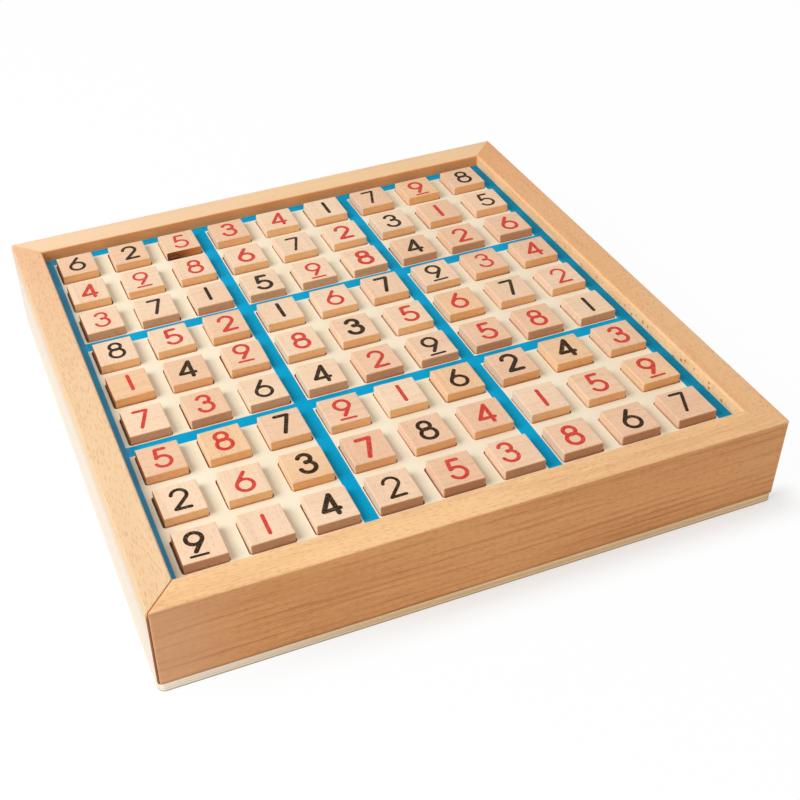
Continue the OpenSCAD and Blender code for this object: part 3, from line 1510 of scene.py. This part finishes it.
@dataclass
class Carcass:
    """The four mitred rails, the plywood base and the strips beside the drawer."""

    nodes: Mapping[str, bpy.types.Object]

    def rail_finishes(self) -> dict[str, BeechFinish]:
        """The finish of each beech piece, every one cut from another place in the timber.

        Returns:
            The finishes by the names of the nodes.
        """
        front = BeechFigure(
            light=srgb(250, 204, 150),
            dark=srgb(200, 136, 82),
            fleck=srgb(176, 112, 66),
            line_tilt=10.0,
            line_strength=0.46,
            line_gaps=0.34,
            fibre_strength=0.8,
            fleck_length=3.0,
            fleck_width=0.32,
            fleck_strength=0.35,
            calm_top=0.6,
        )
        left = BeechFigure(
            light=srgb(247, 208, 182),
            dark=srgb(233, 185, 151),
            fleck=srgb(199, 136, 95),
            line_strength=0.15,
            fibre_strength=0.35,
            fleck_share=1.0,
            fleck_strength=0.4,
            fleck_length=4.6,
        )
        back = BeechFigure(light=srgb(249, 209, 163), dark=srgb(229, 180, 129), fleck_strength=0.1)
        right = BeechFigure(
            light=srgb(255, 214, 163),
            dark=srgb(246, 172, 113),
            fibre_strength=0.7,
            fleck_strength=0.3,
            fleck_length=3.0,
        )
        plain = BeechFigure(light=srgb(242, 200, 150), dark=srgb(216, 164, 110))
        along, across = Grain.LEFT_TO_RIGHT, Grain.FRONT_TO_BACK
        # Face tints: partly each rail's own tone and partly painted light and shade. The faces that
        # look to the front are deepened as painted shade; the left rail's faces and the right rail's
        # top are toned for how the lamp falls on them.
        front_face = ((Facing.FRONT, srgb(232, 205, 181)),)
        back_inside = ((Facing.FRONT, srgb(255, 207, 168)),)
        left_faces = ((Facing.UP, srgb(250, 253, 231)), (Facing.LEFT, srgb(226, 248, 255)))
        right_top = ((Facing.UP, srgb(239, 227, 220)),)
        front_end = EndTone(Facing.FRONT, Axis.X, (-75.0, -112.0), srgb(222, 170, 131), 0.5, Blend.OVER)
        # Painted shade: the foot of the front face darkens where it meets the base.
        front_foot_shade = EndTone(Facing.FRONT, Axis.Z, (5.0, 3.5), srgb(206, 196, 176))
        back_end = EndTone(Facing.UP, Axis.X, (40.0, -90.0), srgb(249, 217, 184), 0.5, Blend.OVER)
        left_end = EndTone(Facing.UP, Axis.Y, (0.0, 110.0), srgb(254, 241, 236))
        right_end = EndTone(Facing.UP, Axis.Y, (30.0, 110.0), srgb(252, 238, 226))
        front_marks = (front_end, front_foot_shade, OpenMitre())
        # The left rail's outer face gets painted light from the left.
        left_marks = (left_end, PaintedLeftLight(), OpenMitre())
        right_marks = (right_end, Pinholes())
        return {
            "front_rail": BeechFinish(front, along, (30.0, 12.0, 1.2), front_face, front_marks),
            "back_rail": BeechFinish(back, along, (500.0, 40.0, 9.0), back_inside, (back_end,)),
            "left_rail": BeechFinish(left, across, (900.0, 70.0, 21.0), left_faces, left_marks),
            "right_rail": BeechFinish(
                right, across, (1400.0, 110.0, 33.0), right_top, right_marks
            ),
            "front_guide": BeechFinish(plain, cut_from=(2000.0, 150.0, 45.0)),
            "back_guide": BeechFinish(plain, cut_from=(2600.0, 190.0, 57.0)),
        }

    def build(self) -> None:
        """Dresses the rails, the strips and the base."""
        for name, finish in self.rail_finishes().items():
            dress(self.nodes[name], finish.build(f"{name}_beech"))
        dress(self.nodes["base_panel"], PlywoodFinish.for_sheet("base_panel").build("base_ply"))


@dataclass
class PlayingBoard:
    """The printed board with its pockets, and the sheet that the tiles stand on."""

    nodes: Mapping[str, bpy.types.Object]
    sheet: Colour = srgb(206, 168, 118)
    sheet_dark: Colour = srgb(172, 130, 84)

    def build(self) -> None:
        """Dresses the board and the sheet, with the block lines midway between the blocks."""
        left, middle = (box_mm(f"row1_{block}_tiles") for block in ("left", "middle"))
        middle_x = (middle[0].x + middle[1].x) / 2
        gap_x = (left[1].x + middle[0].x) / 2
        board = BoardPrint(
            top=box_mm("grid_panel")[1].z, middle_x=middle_x, line_middle=middle_x - gap_x
        )
        dress(self.nodes["grid_panel"], board.build("board_print"))
        ply = PlywoodFinish.for_sheet("pocket_floor", face=self.sheet, face_dark=self.sheet_dark)
        dress(self.nodes["pocket_floor"], ply.build("pocket_ply"))


@dataclass
class Drawer:
    """The drawer's face, sides, rear and bottom."""

    nodes: Mapping[str, bpy.types.Object]
    edge: float = 0.4
    edge_steps: int = 2
    edge_angle: float = 50.0
    merge: float = 0.001

    def ease(self, piece: bpy.types.Object) -> None:
        """Takes the sharpness off a solid's edges.

        Args:
            piece: The solid's object.
        """
        weld = piece.modifiers.new("weld", "WELD")
        weld.merge_threshold = self.merge * MM
        bevel = piece.modifiers.new("ease", "BEVEL")
        bevel.width = self.edge * MM
        bevel.segments = self.edge_steps
        bevel.limit_method = "ANGLE"
        bevel.angle_limit = math.radians(self.edge_angle)
        bevel.harden_normals = True

    def build(self) -> None:
        """Dresses the drawer and eases its edges."""
        face = BeechFigure(light=srgb(244, 198, 144), dark=srgb(210, 152, 98))
        inner = BeechFigure(light=srgb(244, 208, 158), dark=srgb(220, 172, 118))
        across = Grain.FRONT_TO_BACK
        finishes = {
            "drawer_face": BeechFinish(face, across, (3070.0, 20.0, 5.0)),
            "drawer_front_side": BeechFinish(inner, cut_from=(3400.0, 60.0, 15.0)),
            "drawer_back_side": BeechFinish(inner, cut_from=(3800.0, 100.0, 25.0)),
            "drawer_rear": BeechFinish(inner, across, (4200.0, 140.0, 35.0)),
        }
        for name, finish in finishes.items():
            dress(self.nodes[name], finish.build(f"{name}_beech"))
            self.ease(self.nodes[name])
        ply = PlywoodFinish.for_sheet("drawer_bottom")
        dress(self.nodes["drawer_bottom"], ply.build("drawer_ply"))


@dataclass
class Studio:
    """A white floor, one soft lamp at the left, an even white sky and the camera."""

    sky: float = 0.53
    sky_tint: Colour = (1.0, 0.98, 0.96, 1.0)
    floor_size: float = 6000.0
    lamp_place: Triple = (-850.0, -60.0, 720.0)
    lamp_size: float = 750.0
    lamp_watts: float = 9.7
    camera_place: Triple = (-144.59, -367.57, 314.29)
    camera_turn: Triple = (51.1666, 2.3567, -20.5070)
    camera_lens: float = 56.92
    camera_sensor: float = 36.0
    camera_shift: Point = (0.1142, 0.00633)
    camera_nearest: float = 10.0

    def build_sky(self) -> None:
        """An even sky, white where the camera or a reflection sees it."""
        world = bpy.data.worlds.new("studio_sky")
        bpy.context.scene.world = world
        graph = ShaderGraph(world)
        seen = graph.seen()
        strength = seen * (1 - self.sky) + self.sky
        tint = graph.mix(seen, self.sky_tint, WHITE)
        shader = graph.node("ShaderNodeBackground", {}, {"Color": tint, "Strength": strength})
        graph.finish(shader, "ShaderNodeOutputWorld")

    def build_floor(self) -> None:
        """A flat sheet under the object."""
        low, high = (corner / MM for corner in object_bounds())
        finish = FloorFinish(low, high).build("studio_floor")
        sheet = bmesh.new()
        bmesh.ops.create_grid(sheet, x_segments=1, y_segments=1, size=self.floor_size * MM / 2)
        floor = settle(sheet, "studio_floor", [finish])
        floor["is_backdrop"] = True

    def build_lamp(self) -> None:
        """One square soft lamp that looks at the board."""
        lamp = bpy.data.lights.new("key_lamp", "AREA")
        lamp.shape = "SQUARE"
        lamp.size = self.lamp_size * MM
        lamp.energy = self.lamp_watts
        stand = add_object("key_lamp", lamp)
        stand.location = Vector(self.lamp_place) * MM
        stand.rotation_euler = (-stand.location).to_track_quat("-Z", "Y").to_euler()

    def build_camera(self) -> None:
        """The camera at the photograph's place."""
        lens = bpy.data.cameras.new("camera")
        lens.sensor_width = self.camera_sensor
        lens.lens = self.camera_lens
        lens.shift_x, lens.shift_y = self.camera_shift
        lens.clip_start = self.camera_nearest * MM
        stand = add_object("camera", lens)
        stand.location = Vector(self.camera_place) * MM
        stand.rotation_euler = [math.radians(turn) for turn in self.camera_turn]
        bpy.context.scene.camera = stand

    def build(self) -> None:
        """Sets up the studio."""
        bpy.context.scene.view_settings.view_transform = "Standard"
        self.build_camera()
        self.build_sky()
        self.build_floor()
        self.build_lamp()


def main() -> None:
    """Loads the solids and builds the looks."""
    logging.basicConfig(level=logging.INFO, format="%(name)s %(message)s")
    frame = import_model()
    Studio().build()
    Carcass(frame["nodes"]).build()
    PlayingBoard(frame["nodes"]).build()
    Drawer(frame["nodes"]).build()
    TileSet().build()


if __name__ == "__main__":
    main()
